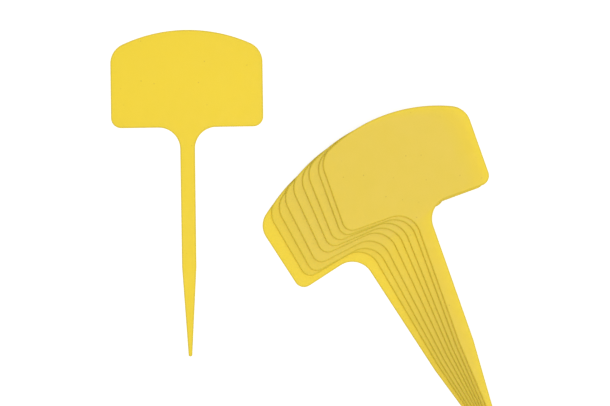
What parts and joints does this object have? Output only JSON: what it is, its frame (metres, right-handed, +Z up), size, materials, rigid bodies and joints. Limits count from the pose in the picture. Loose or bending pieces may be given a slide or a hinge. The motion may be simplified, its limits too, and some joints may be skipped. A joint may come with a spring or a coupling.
{
  "type": "plant label stake set",
  "caption": "T-shaped plastic plant labels, each a curved-top writing head on a pointed stake, one lying alone beside a hand-fanned stack.",
  "frame": {"origin": "the middle of the whole set's box, on the table that it lies on", "axes": "+Z up from the table, +Y along the picture's upward direction and the set's longest extent, +X to the picture's right, towards the fan"},
  "size_m": [0.1648, 0.1766, 0.0094],
  "materials": {
    "label_plastic": "satin"
  },
  "bodies": {
    "single_label": {"single_label": "label_plastic"},
    "fan_label_1": {"fan_label_1": "label_plastic"},
    "fan_label_2": {"fan_label_2": "label_plastic"},
    "fan_label_3": {"fan_label_3": "label_plastic"},
    "fan_label_4": {"fan_label_4": "label_plastic"},
    "fan_label_5": {"fan_label_5": "label_plastic"},
    "fan_label_6": {"fan_label_6": "label_plastic"},
    "fan_label_7": {"fan_label_7": "label_plastic"},
    "fan_label_8": {"fan_label_8": "label_plastic"},
    "fan_label_9": {"fan_label_9": "label_plastic"}
  },
  "joints": [
    {"name": "single_label_lift", "type": "slide", "parent": "fan_label_1", "child": "single_label", "axis": [0, 0, 1], "range_m": [0, 0.05]},
    {"name": "fan_turn_2", "type": "hinge", "parent": "fan_label_1", "child": "fan_label_2", "pos_m": [0.07949, -0.08604, 0.00155], "axis": [0, 0, -1], "range_deg": [-2.5, 12.5]},
    {"name": "fan_turn_3", "type": "hinge", "parent": "fan_label_2", "child": "fan_label_3", "pos_m": [0.07999, -0.08604, 0.0026], "axis": [0, 0, -1], "range_deg": [-1.7, 13.3]},
    {"name": "fan_turn_4", "type": "hinge", "parent": "fan_label_3", "child": "fan_label_4", "pos_m": [0.07988, -0.08432, 0.00365], "axis": [0, 0, -1], "range_deg": [-1.6, 13.4]},
    {"name": "fan_turn_5", "type": "hinge", "parent": "fan_label_4", "child": "fan_label_5", "pos_m": [0.07967, -0.08276, 0.0047], "axis": [0, 0, -1], "range_deg": [-2.1, 12.9]},
    {"name": "fan_turn_6", "type": "hinge", "parent": "fan_label_5", "child": "fan_label_6", "pos_m": [0.08003, -0.08214, 0.00575], "axis": [0, 0, -1], "range_deg": [-1.8, 13.2]},
    {"name": "fan_turn_7", "type": "hinge", "parent": "fan_label_6", "child": "fan_label_7", "pos_m": [0.08024, -0.08112, 0.0068], "axis": [0, 0, -1], "range_deg": [-1.4, 13.6]},
    {"name": "fan_turn_8", "type": "hinge", "parent": "fan_label_7", "child": "fan_label_8", "pos_m": [0.08087, -0.08097, 0.00785], "axis": [0, 0, -1], "range_deg": [-1.8, 13.2]},
    {"name": "fan_turn_9", "type": "hinge", "parent": "fan_label_8", "child": "fan_label_9", "pos_m": [0.08165, -0.0798, 0.0089], "axis": [0, 0, -1], "range_deg": [-0.6, 14.4]}
  ]
}
